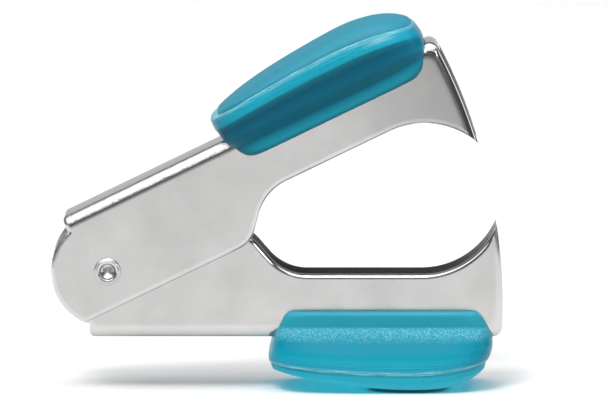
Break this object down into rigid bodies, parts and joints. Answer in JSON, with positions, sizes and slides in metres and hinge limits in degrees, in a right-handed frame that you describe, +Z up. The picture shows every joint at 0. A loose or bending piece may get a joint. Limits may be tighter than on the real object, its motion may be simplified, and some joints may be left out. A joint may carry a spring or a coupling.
{
  "type": "staple remover",
  "caption": "Claw staple remover: two nested sheet-steel jaws with pointed fangs, hinged on a hollow rivet and sprung open, with a plastic thumb pad on each.",
  "frame": {"origin": "centre of the footprint, on the surface that the lower grip stands on", "axes": "+X from the rivet towards the fangs, +Y along the rivet away from its rolled end, +Z up from the lower jaw towards the upper"},
  "size_m": [0.0586, 0.02, 0.0484],
  "materials": {
    "jaw_steel": "nickel-plated sheet, satin sides and glossy bends",
    "grip_plastic": "moulded teal plastic with a fine spark texture and a glossy rim",
    "rivet_steel": "bright nickel plate",
    "spring_wire": "drawn spring wire"
  },
  "bodies": {
    "lower": {"lower_jaw": "jaw_steel", "lower_grip": "grip_plastic", "pivot_rivet": "rivet_steel", "torsion_spring": "spring_wire"},
    "upper": {"upper_jaw": "jaw_steel", "upper_grip": "grip_plastic"}
  },
  "joints": [
    {"name": "squeeze", "type": "hinge", "parent": "lower", "child": "upper", "pos_m": [-0.02195, 0, 0.0156], "axis": [0, 1, 0], "range_deg": [0, 25.5], "stiffness_Nm_per_rad": 0.25, "springref_deg": -5.73, "deforming": ["torsion_spring"]}
  ]
}
